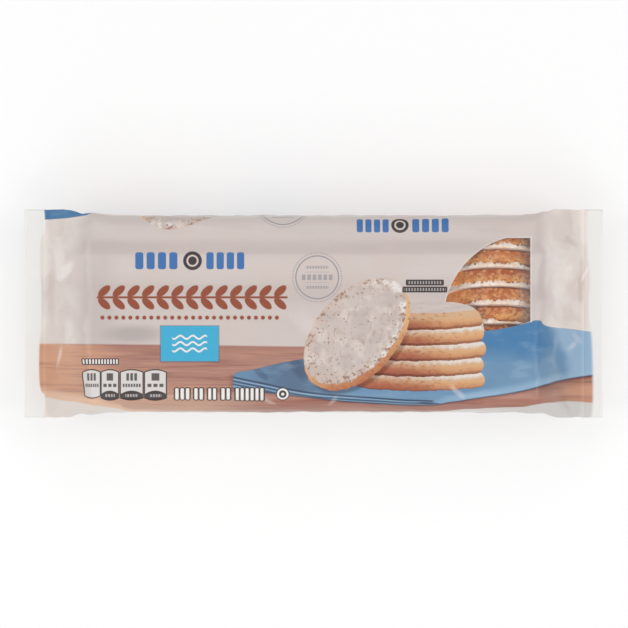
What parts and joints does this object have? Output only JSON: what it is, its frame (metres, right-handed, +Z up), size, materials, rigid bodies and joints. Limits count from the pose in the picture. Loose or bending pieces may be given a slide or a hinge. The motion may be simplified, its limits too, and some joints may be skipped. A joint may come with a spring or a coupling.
{
  "type": "flow-wrapped pack of iced oatmeal cookies",
  "caption": "Sealed printed film pack of iced oatmeal cookies, lying on its back, with flat end seals, tucked-in sides and a clear window onto leaning cookies.",
  "frame": {"origin": "middle of the flat back, on the surface the pack rests on", "axes": "+Z up out of the printed front, +X along the pack, +Y towards the upper edge of the printed front"},
  "size_m": [0.267, 0.096, 0.057],
  "materials": {
    "printed_film": "satin printed film in cream, wood brown and blue",
    "clear_film": "clear glossy film",
    "biscuit": "matt baked oatmeal, golden brown",
    "icing": "dry white sugar icing"
  },
  "bodies": {
    "root": {"film_wrap": "printed_film", "window_film": "clear_film", "biscuit_1": "biscuit", "biscuit_2": "biscuit", "biscuit_3": "biscuit", "biscuit_4": "biscuit", "biscuit_5": "biscuit", "biscuit_6": "biscuit", "icing_1": "icing", "icing_2": "icing", "icing_3": "icing", "icing_4": "icing", "icing_5": "icing", "icing_6": "icing"}
  },
  "joints": []
}
